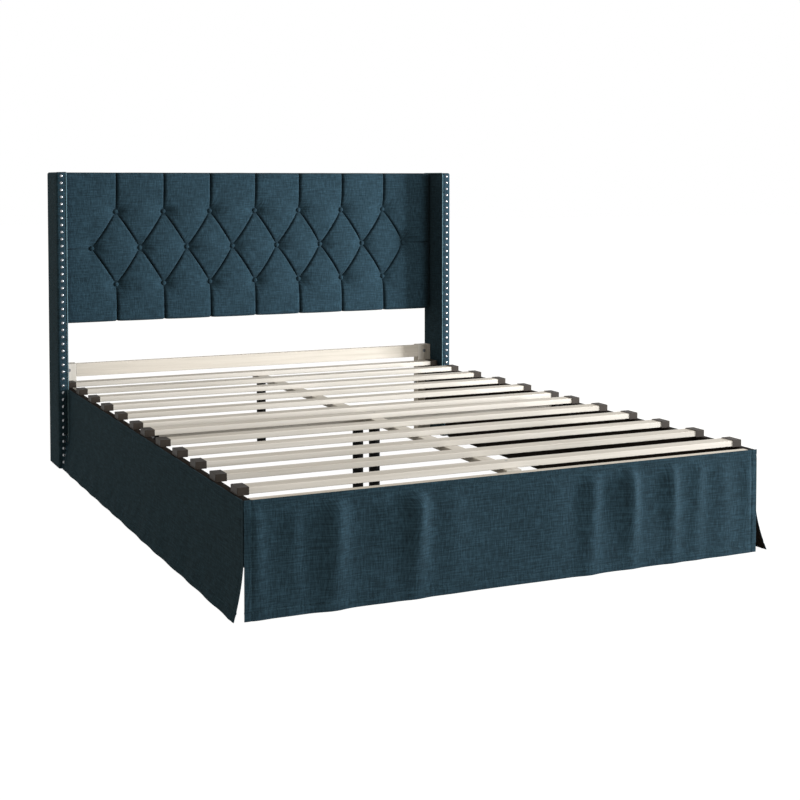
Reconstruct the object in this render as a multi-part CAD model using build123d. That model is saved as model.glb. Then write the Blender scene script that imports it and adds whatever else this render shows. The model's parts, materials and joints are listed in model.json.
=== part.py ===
"""Queen-size wingback bed: tufted headboard between two wings, slatted base, hanging skirt.

Millimetres. +Z is up, +Y runs from the foot to the headboard and +X is to the right when the
bed is seen from its foot. The origin is on the floor under the middle of the whole bed.
"""
import os
from build123d import *

os.makedirs("parts", exist_ok=True)

# Whole bed
bed_width = 1630.0
bed_length = 2210.0
headboard_height = 1106.0
soft_gap = 0.3
soft_fillet = 4.0

# Wings
wing_depth = 180.0
wing_thickness = 33.0
wing_padding = 6.0
wing_glide_height = 2.0
wing_glide_radius = 8.0
wing_glide_inset = 30.0

# Round-headed nails down the front of each wing
nail_pitch = 26.0
nail_end_margin = 14.0
nail_head_radius = 5.8
nail_head_height = 3.2
nail_shank_radius = 0.9
nail_shank_length = 16.0
nail_clearance = 0.1

# Tufted panel between the wings
gap_under_panel = 155.0
panel_wrap = 4.0
back_cloth_thickness = 1.5
frame_thickness = 18.0
frame_width = 50.0
frame_bolt_gap = 20.0          # clear of the frame's rails, to the bolt's centre
board_thickness = 9.0
pad_base_thickness = 8.0
pad_puff = 17.0
pad_border_roll = 11.0
tuft_side_margin = 123.7
tuft_top_margin = 151.0
tuft_bottom_margin = 142.0
middle_row_buttons = 8
button_radius = 12.0
button_rim = 2.5
button_crown = 5.0

# Posts and crossbar at the head end
post_width = 58.0
post_thickness = 43.0
post_setback = 19.0
crossbar_rise = 30.0
crossbar_height = 50.0
crossbar_thickness = 18.0
tenon_clearance = 0.2

# Side and foot rails
rail_top = 297.0
rail_height = 165.0
rail_board_thickness = 15.0
rail_padding = 2.0
wing_to_skirt = 4.0
foot_rail_thickness = 27.0

# Skirt
skirt_cloth = 2.0
side_flare = 27.0
side_fold_depth = 3.0
foot_fold_depth = 3.0

# Slats, their end caps and the rails under them
slats_per_half = 6
slat_width = 50.0
slat_thickness = 17.0
slat_head_margin = 118.0
slat_foot_margin = 93.0
slat_middle_pitch = 136.5
head_span_share = 0.526
cap_wall = 1.5
cap_length = 31.0
cap_setback = 2.0
cap_clearance = 0.2
cap_peg_radius = 4.0
cap_peg_length = 14.0
centre_rail_width = 45.0
centre_rail_thickness = 17.0
centre_rail_head_overhang = 38.0
centre_rail_foot_gap = 11.0
cross_beam_thickness = 25.0
cross_beam_height = 45.0
wood_rounding = 2.0

# Legs under the centre rail
leg_radius = 18.0
leg_wall = 2.0
leg_plate_length = 70.0
leg_plate_thickness = 3.0
leg_glide_height = 6.0
leg_glide_radius = 20.0
leg_plug_height = 20.0

# Steel fittings
steel_thickness = 3.0
corner_bracket_reach = 50.0
corner_bracket_height = 90.0
corner_bracket_drop = 30.0
joint_plate_length = 200.0
joint_plate_height = 45.0
joint_tab_reach = 45.0
rail_bracket_reach = 40.0
rail_bracket_drop = 50.0
bolt_radius = 4.0
bolt_head_radius = 7.0
bolt_head_height = 4.0
bolt_clearance = 0.2
bolt_grip = 11.0
bed_bolt_reach = 60.0
barrel_nut_radius = 6.0
barrel_nut_length = 12.0
screw_radius = 2.0
screw_head_radius = 4.0
screw_head_height = 2.5
screw_grip = 12.0

# Planes of the bed, worked out from the sizes above
back_y = bed_length / 2
foot_y = -bed_length / 2
wing_front_y = back_y - wing_depth
wing_outer_x = bed_width / 2
wing_inner_x = wing_outer_x - wing_thickness
wing_centre_x = wing_outer_x - wing_thickness / 2

crossbar_bottom_z = rail_top + crossbar_rise
crossbar_top_z = crossbar_bottom_z + crossbar_height
panel_half_width = wing_inner_x - soft_gap
panel_bottom_z = crossbar_top_z + gap_under_panel
frame_bottom_z = panel_bottom_z + panel_wrap + soft_gap
frame_top_z = headboard_height - panel_wrap - soft_gap
frame_back_y = back_y - back_cloth_thickness - soft_gap
frame_front_y = frame_back_y - frame_thickness
board_front_y = frame_front_y - board_thickness
pad_back_y = board_front_y - soft_gap
pad_valley_y = pad_back_y - pad_base_thickness

post_back_y = back_y - post_setback
post_front_y = post_back_y - post_thickness
post_outer_x = wing_inner_x - soft_gap
post_inner_x = post_outer_x - post_width
crossbar_back_y = post_front_y + crossbar_thickness

skirt_face_x = wing_inner_x - wing_to_skirt
cover_outer_x = skirt_face_x - skirt_cloth - soft_gap
rail_outer_x = cover_outer_x - rail_padding - soft_gap
rail_inner_x = rail_outer_x - rail_board_thickness
cover_inner_x = rail_inner_x - soft_gap - rail_padding
rail_bottom_z = rail_top - rail_height
rail_core_top_z = rail_top - rail_padding - soft_gap
foot_face_y = foot_y + 2 * foot_fold_depth
facing_front_y = foot_face_y + skirt_cloth + soft_gap
rail_foot_y = facing_front_y + rail_padding + soft_gap
foot_rail_inner_y = rail_foot_y + foot_rail_thickness

slat_bottom_z = rail_top + cap_wall
slat_top_z = slat_bottom_z + slat_thickness
cap_outer_x = cover_outer_x - cap_setback
cap_inner_x = cap_outer_x - cap_length
rail_centre_x = (rail_outer_x + rail_inner_x) / 2
slat_half_length = cap_outer_x - cap_wall - cap_clearance
slats_room = bed_length - slat_head_margin - slat_foot_margin - slat_middle_pitch
head_pitch = slats_room * head_span_share / (slats_per_half - 1)
foot_pitch = slats_room * (1 - head_span_share) / (slats_per_half - 1)
head_slats = [back_y - slat_head_margin - i * head_pitch for i in range(slats_per_half)]
foot_slats = [foot_y + slat_foot_margin + i * foot_pitch for i in reversed(range(slats_per_half))]
slat_places = head_slats + foot_slats
middle_y = (head_slats[-1] + foot_slats[0]) / 2
centre_rail_bottom_z = slat_bottom_z - centre_rail_thickness
centre_rail_head_y = head_slats[0] + centre_rail_head_overhang
centre_rail_foot_y = foot_rail_inner_y + centre_rail_foot_gap
leg_places = [head_slats[0], head_slats[-1], foot_slats[0]]
beam_half_length = cover_inner_x - steel_thickness
beam_bottom_z = slat_bottom_z - cross_beam_height


def block(x, y, z):
    """Box between the low and high values given for each direction."""
    sizes = [high - low for low, high in (x, y, z)]
    middle = [(high + low) / 2 for low, high in (x, y, z)]
    return Pos(*middle) * Box(*sizes)


def planed(board, along):
    """Board with its long edges eased."""
    return fillet(board.edges().filter_by(along), wood_rounding)


def rod(radius, start, direction, length):
    """Round bar from a start point along a direction."""
    place = Plane(origin=start, z_dir=direction)
    return place * Cylinder(radius, length, align=(Align.CENTER, Align.CENTER, Align.MIN))


def bolt(start, direction, length, radius=bolt_radius, head=(bolt_head_radius, bolt_head_height)):
    """Bolt whose head sits at the start, on the side it is driven from."""
    away = tuple(-part for part in direction)
    return rod(radius, start, direction, length) + rod(head[0], start, away, head[1])


def screw(start, direction, length):
    """Wood screw with a flat head let in at the start point."""
    head = rod(screw_head_radius, start, direction, screw_head_height)
    return rod(screw_radius, start, direction, length) + head


def bored(shape, bolts, clearance=bolt_clearance, radius=bolt_radius):
    """The shape with a hole for each bolt's shank."""
    for start, direction, length in bolts:
        shape = shape - rod(radius + clearance, start, direction, length + clearance)
    return shape


def screwed(shape, screws):
    """The shape with a hole and a head recess for each wood screw."""
    for start, direction, length in screws:
        shape = shape - rod(screw_radius + bolt_clearance, start, direction, length + bolt_clearance)
        shape = shape - rod(screw_head_radius + bolt_clearance, start, direction, screw_head_height)
    return shape


def both_sides(shape):
    """The shape and its mirror image on the other side of the bed."""
    return [shape, mirror(shape, about=Plane.YZ)]


def save(name, *shapes):
    """Writes one node, a single piece or a group of separate solids."""
    solids = [solid for shape in shapes for solid in shape.solids()]
    node = solids[0] if len(solids) == 1 else Compound(children=solids)
    node.label = name
    export_step(node, f"parts/{name}.step")


def save_pair(stem, right):
    """Writes a right-hand piece and its left-hand mirror image."""
    save(f"{stem}_right", right)
    save(f"{stem}_left", mirror(right, about=Plane.YZ))


# Bolts and screws of the right-hand side, each as start point, direction and length
def frame_bolts():
    """Bolts that hold the panel frame and the head post to the wing."""
    outward = (1, 0, 0)
    grip = soft_gap + wing_padding + bolt_grip
    inset = frame_width + frame_bolt_gap
    in_frame = [
        ((panel_half_width - frame_width, (frame_back_y + frame_front_y) / 2, z), outward, frame_width + grip)
        for z in (frame_bottom_z + inset, (frame_bottom_z + frame_top_z) / 2, frame_top_z - inset)
    ]
    in_post = [
        ((post_inner_x, (post_back_y + post_front_y) / 2, z), outward, post_width + grip)
        for z in (rail_bottom_z / 2, (rail_top + rail_bottom_z) / 2)
    ]
    return in_frame, in_post


def crossbar_bolts():
    """Bolt through the post and the crossbar's tenon."""
    centre = ((post_inner_x + post_outer_x) / 2, post_front_y, (crossbar_bottom_z + crossbar_top_z) / 2)
    return [(centre, (0, 1, 0), crossbar_thickness + bolt_grip)]


def bed_bolts():
    """Long bolts through the post into the head end of the side rail."""
    heights = (rail_bottom_z + rail_height / 4, rail_top - rail_height / 4)
    reach = post_thickness + bed_bolt_reach
    return [((rail_centre_x, post_back_y, z), (0, -1, 0), reach) for z in heights]


def barrel_nuts():
    """Cross dowels that the long bolts screw into."""
    x = rail_centre_x - barrel_nut_length / 2
    y = post_front_y - bed_bolt_reach + barrel_nut_radius
    return [((x, y, start[2]), (1, 0, 0), barrel_nut_length) for start, _, _ in bed_bolts()]


def corner_bolts():
    """Bolts of the corner bracket: two into the side rail, two into the foot rail."""
    bracket_middle_z = rail_top - corner_bracket_drop - corner_bracket_height / 2
    heights = (bracket_middle_z - corner_bracket_height / 4, bracket_middle_z + corner_bracket_height / 4)
    reach = steel_thickness + corner_bracket_reach / 2
    into_side = steel_thickness + rail_padding + soft_gap + bolt_grip
    into_foot = steel_thickness + bolt_grip
    side = [((cover_inner_x - steel_thickness, foot_rail_inner_y + reach, z), (1, 0, 0), into_side) for z in heights]
    foot = [((cover_inner_x - reach, foot_rail_inner_y + steel_thickness, z), (0, -1, 0), into_foot) for z in heights]
    return side, foot


def joint_bolts():
    """Bolts of the plate that joins the two halves of the side rail, and of its beam tab."""
    z = slat_bottom_z - cross_beam_height / 2
    length = steel_thickness + rail_padding + soft_gap + bolt_grip
    places = (middle_y - joint_plate_length * 3 / 8, middle_y - joint_plate_length / 5,
              middle_y + joint_plate_length / 5, middle_y + joint_plate_length * 3 / 8)
    plate = [((beam_half_length, y, z), (1, 0, 0), length) for y in places]
    tab_y = middle_y - cross_beam_thickness / 2 - steel_thickness
    heights = (beam_bottom_z + cross_beam_height / 4, slat_bottom_z - cross_beam_height / 3)
    x = beam_half_length - joint_tab_reach / 2
    tab = [((x, tab_y, height), (0, 1, 0), steel_thickness + bolt_grip) for height in heights]
    return plate, tab


def slat_screws():
    """Screws through the first and last slat of each half into the centre rail."""
    places = (head_slats[0], head_slats[-1], foot_slats[0], foot_slats[-1])
    return [((0, y, slat_top_z), (0, 0, -1), slat_thickness + screw_grip) for y in places]


def leg_screws():
    """Screws up through each leg's plate into the centre rail, either side of the tube."""
    off = (leg_plate_length / 2 + leg_radius) / 2
    z = centre_rail_bottom_z - leg_plate_thickness
    places = [y + side * off for y in leg_places for side in (-1, 1)]
    return [((0, y, z), (0, 0, 1), leg_plate_thickness + screw_grip) for y in places]


def rail_bracket_screws():
    """Screws of the bracket that carries the centre rail at the foot rail."""
    shelf_y = (centre_rail_foot_y + foot_rail_inner_y + rail_bracket_reach) / 2
    shelf_z = centre_rail_bottom_z - steel_thickness
    up = [((side * centre_rail_width / 4, shelf_y, shelf_z), (0, 0, 1), steel_thickness + screw_grip)
          for side in (-1, 1)]
    wall_y = foot_rail_inner_y + steel_thickness
    wall_z = centre_rail_bottom_z - rail_bracket_drop * 2 / 3
    into = [((side * centre_rail_width / 4, wall_y, wall_z), (0, -1, 0), steel_thickness + screw_grip)
            for side in (-1, 1)]
    return up, into


# Wings, nails and glides
def nail_places():
    """Heights of the nails, from the top of the wing down."""
    room = headboard_height - 2 * nail_end_margin
    count = int(room / nail_pitch) + 1
    return [headboard_height - nail_end_margin - i * nail_pitch for i in range(count)]


def wing_core():
    """Board inside the wing."""
    edge = wing_padding + soft_gap
    x = (wing_inner_x + edge, wing_outer_x - edge)
    core = block(x, (wing_front_y + edge, back_y - edge), (wing_glide_height, headboard_height - edge))
    in_frame, in_post = frame_bolts()
    core = bored(core, in_frame + in_post)
    shanks = [((wing_centre_x, wing_front_y, z), (0, 1, 0), nail_shank_length) for z in nail_places()]
    return bored(core, shanks, nail_clearance, nail_shank_radius)


def wing_cover():
    """Padded cloth sleeve over the board, open underneath."""
    outside = block((wing_inner_x, wing_outer_x), (wing_front_y, back_y), (wing_glide_height, headboard_height))
    outside = fillet(outside.edges().filter_by(Axis.Z), soft_fillet)
    outside = fillet(outside.faces().sort_by(Axis.Z)[-1].edges(), soft_fillet)
    x = (wing_inner_x + wing_padding, wing_outer_x - wing_padding)
    y = (wing_front_y + wing_padding, back_y - wing_padding)
    cover = outside - block(x, y, (0, headboard_height - wing_padding))
    in_frame, in_post = frame_bolts()
    cover = bored(cover, in_frame + in_post)
    shanks = [((wing_centre_x, wing_front_y, z), (0, 1, 0), nail_shank_length) for z in nail_places()]
    return bored(cover, shanks, nail_clearance, nail_shank_radius)


def round_top(radius, rim, crown):
    """Domed disc that stands on the XY plane."""
    dome_radius = (radius**2 + crown**2) / (2 * crown)
    dome = Pos(0, 0, rim + crown - dome_radius) * Sphere(dome_radius)
    return dome & Cylinder(radius, rim + crown, align=(Align.CENTER, Align.CENTER, Align.MIN))


def nail(z):
    """One domed nail, driven into the front of the right wing."""
    rim = nail_head_height / 4
    head = Plane(origin=(wing_centre_x, wing_front_y, z), z_dir=(0, -1, 0)) * round_top(
        nail_head_radius, rim, nail_head_height - rim)
    return head + rod(nail_shank_radius, (wing_centre_x, wing_front_y, z), (0, 1, 0), nail_shank_length)


def wing_glides():
    """Glides under both wings, near the front and back edges."""
    places = (wing_front_y + wing_glide_inset, back_y - wing_glide_inset)
    discs = [rod(wing_glide_radius, (wing_centre_x, y, 0), (0, 0, 1), wing_glide_height) for y in places]
    return [piece for disc in discs for piece in both_sides(disc)]


# Tufted panel
def row_heights():
    """Heights of the three rows of buttons, from the top."""
    top = headboard_height - tuft_top_margin
    bottom = panel_bottom_z + tuft_bottom_margin
    return top, (top + bottom) / 2, bottom


def button_columns():
    """Places across the panel of the middle row's buttons and of the outer rows'."""
    pitch = 2 * (panel_half_width - tuft_side_margin) / (middle_row_buttons - 1)
    middle = [-panel_half_width + tuft_side_margin + i * pitch for i in range(middle_row_buttons)]
    outer = [(left + right) / 2 for left, right in zip(middle, middle[1:])]
    return middle, outer


def button_places():
    """Every button's place as x and z."""
    top, centre, bottom = row_heights()
    middle, outer = button_columns()
    return [(x, top) for x in outer] + [(x, centre) for x in middle] + [(x, bottom) for x in outer]


def tuft_cells():
    """Outlines of the puffs between the pleats: whole diamonds, then the border's cells."""
    top, centre, bottom = row_heights()
    middle, outer = button_columns()
    side = panel_half_width
    diamonds = [
        [(x, top), (right, centre), (x, bottom), (left, centre)]
        for x, left, right in zip(outer, middle, middle[1:])
    ]
    cells = list(diamonds)
    for row, edge in ((top, headboard_height), (bottom, panel_bottom_z)):
        for x, left, right in zip(middle[1:], outer, outer[1:]):
            cells.append([(left, row), (x, centre), (right, row), (right, edge), (left, edge)])
        for sign in (-1, 1):
            end, last = sign * middle[-1], sign * outer[-1]
            cells.append([(last, row), (end, centre), (sign * side, centre), (sign * side, edge), (last, edge)])
    return cells


def shrunk(cell, share, roll):
    """A cell's outline drawn in, with its border sides drawn in by the roll alone."""
    centre_x = sum(x for x, _ in cell) / len(cell)
    centre_z = sum(z for _, z in cell) / len(cell)
    points = []
    for x, z in cell:
        new_x = centre_x + share * (x - centre_x)
        new_z = centre_z + share * (z - centre_z)
        if abs(x) == panel_half_width:
            new_x = x - roll if x > 0 else x + roll
        if z in (headboard_height, panel_bottom_z):
            new_z = z - roll if z > centre_z else z + roll
        points.append((new_x, new_z))
    return points


def puff(cell):
    """One puff of the tufted panel, rising in three steps from the pleats to its crown."""
    rise_shares = (0, 0.62, 0.9, 1)
    width_shares = (1, 0.84, 0.62, 0.36)
    roll_shares = (0, 0.35, 1, 3)
    levels = []
    for rise, width, roll in zip(rise_shares, width_shares, roll_shares):
        outline = shrunk(cell, width, roll * pad_border_roll)
        y = pad_valley_y - rise * pad_puff
        levels.append(Wire.make_polygon([(x, y, z) for x, z in outline], close=True))
    return Solid.make_loft(levels, ruled=True)


def tufted_pad():
    """Foam and cloth of the panel, wrapped over the frame's top and bottom edges."""
    x = (-panel_half_width, panel_half_width)
    base = block(x, (pad_valley_y, pad_back_y), (panel_bottom_z, headboard_height))
    wrap_y = (pad_back_y, frame_back_y)
    top = block(x, wrap_y, (headboard_height - panel_wrap, headboard_height))
    bottom = block(x, wrap_y, (panel_bottom_z, panel_bottom_z + panel_wrap))
    pad = base + [top, bottom]
    pad = pad + [puff(cell) for cell in tuft_cells()]
    for place_x, place_z in button_places():
        pocket = rod(button_radius + soft_gap, (place_x, pad_valley_y, place_z), (0, -1, 0), pad_puff)
        pad = pad - pocket
    return pad


def button(place_x, place_z):
    """One cloth-covered button at the bottom of a tuft."""
    seat = Plane(origin=(place_x, pad_valley_y - soft_gap, place_z), z_dir=(0, -1, 0))
    return seat * round_top(button_radius, button_rim, button_crown)


def frame_pieces():
    """Wooden frame behind the panel: two stiles with the rails between them."""
    y = (frame_front_y, frame_back_y)
    inner = panel_half_width - frame_width
    in_frame, _ = frame_bolts()
    stile = bored(block((inner, panel_half_width), y, (frame_bottom_z, frame_top_z)), in_frame)
    top = block((-inner, inner), y, (frame_top_z - frame_width, frame_top_z))
    bottom = block((-inner, inner), y, (frame_bottom_z, frame_bottom_z + frame_width))
    return stile, top, bottom


# Head end
def head_post():
    """Post on the wing's inner face that the crossbar and the side rail are fastened to."""
    post = block((post_inner_x, post_outer_x), (post_front_y, post_back_y), (0, crossbar_top_z))
    post = planed(post, Axis.Z) - crossbar_tenon(tenon_clearance)
    _, in_post = frame_bolts()
    post = bored(post, in_post + crossbar_bolts() + bed_bolts())
    for start, direction, _ in crossbar_bolts():
        post = post - rod(bolt_head_radius + bolt_clearance, start, direction, bolt_head_height)
    return post


def crossbar_tenon(clearance):
    """Tongue on the crossbar's right end, with room around it."""
    x = (post_inner_x, post_inner_x + post_width * 3 / 4 + clearance)
    y = (post_front_y + crossbar_thickness / 3 - clearance, crossbar_back_y - crossbar_thickness / 3 + clearance)
    shoulder = crossbar_height / 5
    z = (crossbar_bottom_z + shoulder - clearance, crossbar_top_z - shoulder + clearance)
    return block(x, y, z)


def crossbar():
    """Board on edge between the posts, with a tenon at each end."""
    bar = planed(block((-post_inner_x, post_inner_x), (post_front_y, crossbar_back_y),
                       (crossbar_bottom_z, crossbar_top_z)), Axis.X)
    return bar + both_sides(bored(crossbar_tenon(0), crossbar_bolts()))


def sunk(place):
    """A bolt's place moved in by the height of its head."""
    start, direction, length = place
    moved = tuple(value + bolt_head_height * part for value, part in zip(start, direction))
    return moved, direction, length - bolt_head_height


# Side rails
def peg_holes(shape, places, radius):
    """Holes for the pegs of the slats' end caps."""
    for y in places:
        shape = shape - rod(radius, (rail_centre_x, y, rail_top), (0, 0, -1), cap_peg_length + cap_clearance)
    return shape


def side_rail_core(y_low, y_high, places):
    """Board of one half of a side rail."""
    core = block((rail_inner_x, rail_outer_x), (y_low, y_high), (rail_bottom_z, rail_core_top_z))
    plate, _ = joint_bolts()
    corner, _ = corner_bolts()
    here = [place for place in plate + corner if y_low < place[0][1] < y_high]
    core = bored(core, here)
    return peg_holes(core, places, cap_peg_radius + cap_clearance)


def side_rail_cover(y_low, y_high, places):
    """Padded cloth folded over the board's top and down both its faces."""
    outside = block((cover_inner_x, cover_outer_x), (y_low, y_high), (rail_bottom_z, rail_top))
    inside_x = (cover_inner_x + rail_padding, cover_outer_x - rail_padding)
    cover = outside - block(inside_x, (y_low, y_high), (rail_bottom_z, rail_top - rail_padding))
    plate, _ = joint_bolts()
    corner, _ = corner_bolts()
    here = [place for place in plate + corner if y_low < place[0][1] < y_high]
    cover = bored(cover, here)
    return peg_holes(cover, places, cap_peg_radius + cap_clearance)


def head_half_core():
    """Head half of the side rail's board, bored for the long bolts and their nuts."""
    core = side_rail_core(middle_y, post_front_y, head_slats)
    core = bored(core, bed_bolts())
    for start, direction, length in barrel_nuts():
        core = core - rod(barrel_nut_radius + bolt_clearance, start, direction, length + bolt_clearance)
    return core


def barrel_nut(place):
    """Cross dowel with the hole that its bolt passes into."""
    start, direction, length = place
    nut = rod(barrel_nut_radius, start, direction, length)
    return bored(nut, bed_bolts())


# Foot end
def foot_rail():
    """Board across the foot, between the side rails, with its top edge bare."""
    half = cover_inner_x - soft_gap
    rail = planed(block((-half, half), (rail_foot_y, foot_rail_inner_y), (rail_bottom_z, rail_top)), Axis.X)
    _, foot = corner_bolts()
    mirrored = [((-start[0], start[1], start[2]), direction, length) for start, direction, length in foot]
    _, into = rail_bracket_screws()
    return screwed(bored(rail, foot + mirrored), into)


def foot_facing():
    """Padded cloth facing over the foot rail and the ends of the side rails."""
    y = (facing_front_y, facing_front_y + rail_padding)
    return block((-cover_outer_x, cover_outer_x), y, (rail_bottom_z, rail_top))


def corner_bracket():
    """Steel angle inside the right foot corner."""
    z_high = rail_top - corner_bracket_drop
    z = (z_high - corner_bracket_height, z_high)
    x_face, y_face = cover_inner_x, foot_rail_inner_y
    reach = corner_bracket_reach + steel_thickness
    on_side = block((x_face - steel_thickness, x_face), (y_face, y_face + reach), z)
    on_foot = block((x_face - reach, x_face), (y_face, y_face + steel_thickness), z)
    side, foot = corner_bolts()
    return bored(on_side + on_foot, side + foot)


# Middle of the bed
def joint_plate():
    """Steel plate across the joint of the right side rail, with the tab that holds the beam."""
    z_middle = slat_bottom_z - cross_beam_height / 2
    z = (z_middle - joint_plate_height / 2, z_middle + joint_plate_height / 2 - 2 * cap_wall)
    y = (middle_y - joint_plate_length / 2, middle_y + joint_plate_length / 2)
    plate = block((beam_half_length, cover_inner_x), y, z)
    tab_y = (middle_y - cross_beam_thickness / 2 - steel_thickness, middle_y - cross_beam_thickness / 2)
    tab = block((beam_half_length - joint_tab_reach, cover_inner_x), tab_y, z)
    plate_bolts, tab_bolts = joint_bolts()
    return bored(plate + tab, plate_bolts + tab_bolts)


def cross_beam():
    """Board on edge across the middle, notched for the centre rail."""
    y = (middle_y - cross_beam_thickness / 2, middle_y + cross_beam_thickness / 2)
    beam = planed(block((-beam_half_length, beam_half_length), y, (beam_bottom_z, slat_bottom_z)), Axis.X)
    notch_half = centre_rail_width / 2 + soft_gap
    beam = beam - block((-notch_half, notch_half), y, (centre_rail_bottom_z, slat_bottom_z))
    _, tab = joint_bolts()
    mirrored = [((-start[0], start[1], start[2]), direction, length) for start, direction, length in tab]
    return bored(beam, tab + mirrored)


def centre_rail(y_low, y_high):
    """One half of the flat rail under the middle of the slats."""
    half = centre_rail_width / 2
    rail = planed(block((-half, half), (y_low, y_high), (centre_rail_bottom_z, slat_bottom_z)), Axis.Y)
    up, _ = rail_bracket_screws()
    screws = slat_screws() + leg_screws() + up
    for start, direction, length in screws:
        if y_low < start[1] < y_high:
            rail = rail - rod(screw_radius + bolt_clearance, start, direction, length + bolt_clearance)
    return rail


def rail_bracket():
    """Steel angle on the foot rail, with the shelf that carries the centre rail."""
    x = (-centre_rail_width / 2, centre_rail_width / 2)
    y_wall = foot_rail_inner_y
    wall = block(x, (y_wall, y_wall + steel_thickness),
                 (centre_rail_bottom_z - rail_bracket_drop, centre_rail_bottom_z))
    shelf = block(x, (y_wall, y_wall + rail_bracket_reach),
                  (centre_rail_bottom_z - steel_thickness, centre_rail_bottom_z))
    up, into = rail_bracket_screws()
    return screwed(wall + shelf, up + into)


def centre_leg(y):
    """Steel tube with its screw plate welded on top."""
    top = centre_rail_bottom_z
    plate_bottom = top - leg_plate_thickness
    half = centre_rail_width / 2
    plate = block((-half, half), (y - leg_plate_length / 2, y + leg_plate_length / 2), (plate_bottom, top))
    tube = rod(leg_radius, (0, y, leg_glide_height), (0, 0, 1), plate_bottom - leg_glide_height)
    bore = rod(leg_radius - leg_wall, (0, y, leg_glide_height), (0, 0, 1), plate_bottom - leg_glide_height)
    return screwed(plate + (tube - bore), leg_screws())


def leg_glide(y):
    """Plastic foot pushed into the tube's lower end."""
    foot = rod(leg_glide_radius, (0, y, 0), (0, 0, 1), leg_glide_height)
    plug_radius = leg_radius - leg_wall - bolt_clearance
    plug = rod(plug_radius, (0, y, leg_glide_height), (0, 0, 1), leg_plug_height)
    return foot + plug


# Slats
def slat(y):
    """One slat, screwed down only at the ends of each half."""
    board = planed(block((-slat_half_length, slat_half_length), (y - slat_width / 2, y + slat_width / 2),
                         (slat_bottom_z, slat_top_z)), Axis.X)
    here = [place for place in slat_screws() if abs(place[0][1] - y) < slat_width / 2]
    return screwed(board, here)


def slat_cap(y):
    """Plastic cap on a slat's right end, with the peg that stands in the side rail."""
    half = slat_width / 2 + cap_clearance + cap_wall
    top = slat_top_z + cap_clearance + cap_wall
    shell = block((cap_inner_x, cap_outer_x), (y - half, y + half), (rail_top, top))
    shell = fillet(shell.faces().sort_by(Axis.X)[-1].edges(), cap_wall)
    room = (y - half + cap_wall, y + half - cap_wall)
    shell = shell - block((cap_inner_x, cap_outer_x - cap_wall), room, (slat_bottom_z, top - cap_wall))
    peg = rod(cap_peg_radius, (rail_centre_x, y, rail_top), (0, 0, -1), cap_peg_length)
    return shell + peg


# Skirt
side_fold_shares = (5, 8, 6, 9, 5, 7, 9, 6, 8, 5, 7, 6, 9, 8, 5, 7, 6, 8, 7, 5, 8, 6, 7, 9)
foot_fold_shares = (5, 4, 5, 7, 6, 16, 6, 27, 12, 9, 6, 8, 6, 7, 5, 4, 4, 14, 5)
side_drop_shares = (0, 0.56, 0.8, 1)
side_flare_shares = (0, 0, 0.3, 1)
side_depth_shares = (0, 0, 0.55, 1)
foot_drop_shares = (0, 0.2, 0.6, 1)
foot_depth_shares = (0, 0.8, 1, 1)


def skirt_section(length, z, offset, fold, shares):
    """Closed outline of the cloth at one height; folds swing it in and out of the line."""
    marks = [length * sum(shares[:i]) / sum(shares) for i in range(len(shares) + 1)]

    def run(y, order):
        edges = []
        for i in order:
            start, end = (marks[i], y, z), (marks[i + 1], y, z)
            swing = fold if i % 2 else -fold
            middle = ((marks[i] + marks[i + 1]) / 2, y + swing, z)
            edges.append(ThreePointArc(start, middle, end) if fold else Line(start, end))
        return edges

    outer, inner = -offset, -offset + skirt_cloth
    ends = [Line((x, outer, z), (x, inner, z)) for x in (marks[0], marks[-1])]
    order = range(len(shares))
    return Wire(run(outer, order) + [ends[1]] + run(inner, order) + [ends[0]])


def skirt_panel(length, drops, offsets, folds, shares):
    """Cloth that hangs from the rail's top edge to the floor; its outer face is on the X axis."""
    sections = [
        skirt_section(length, rail_top * (1 - drop), offset, fold, shares)
        for drop, offset, fold in zip(drops, offsets, folds)
    ]
    return Solid.make_loft(sections, ruled=True)


def side_skirt():
    """Right-hand panel, from the foot corner to the front of the wing."""
    length = wing_front_y - nail_head_height - soft_gap - facing_front_y
    offsets = [side_flare * share for share in side_flare_shares]
    folds = [side_fold_depth * share for share in side_depth_shares]
    panel = skirt_panel(length, side_drop_shares, offsets, folds, side_fold_shares)
    return Pos(skirt_face_x, facing_front_y, 0) * Rot(0, 0, 90) * panel


def foot_skirt():
    """Panel across the foot, whose folds swing out from the foot rail's face."""
    folds = [foot_fold_depth * share for share in foot_depth_shares]
    panel = skirt_panel(2 * skirt_face_x, foot_drop_shares, folds, folds, foot_fold_shares)
    return Pos(-skirt_face_x, foot_face_y, 0) * panel


# Headboard
save_pair("wing_board", wing_core())
save_pair("wing_cover", wing_cover())
nails = [nail(z) for z in nail_places()]
save("wing_nails_right", *nails)
save("wing_nails_left", *[mirror(one, about=Plane.YZ) for one in nails])
save("wing_glides", *wing_glides())
stile, frame_top, frame_bottom = frame_pieces()
save_pair("headboard_stile", stile)
save("headboard_top_rail", frame_top)
save("headboard_bottom_rail", frame_bottom)
board_x = (-panel_half_width, panel_half_width)
save("headboard_plywood", block(board_x, (board_front_y, frame_front_y), (frame_bottom_z, frame_top_z)))
save("tufted_pad", tufted_pad())
save("tuft_buttons", *[button(x, z) for x, z in button_places()])
save("headboard_back_cloth",
     block(board_x, (back_y - back_cloth_thickness, back_y), (panel_bottom_z, headboard_height)))
save_pair("head_post", head_post())
save("head_crossbar", crossbar())
frame_places, post_places = frame_bolts()
head_bolts = [bolt(*place) for place in frame_places + post_places]
head_bolts += [bolt(*sunk(place)) for place in crossbar_bolts()]
save("headboard_bolts", *[piece for one in head_bolts for piece in both_sides(one)])

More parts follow.
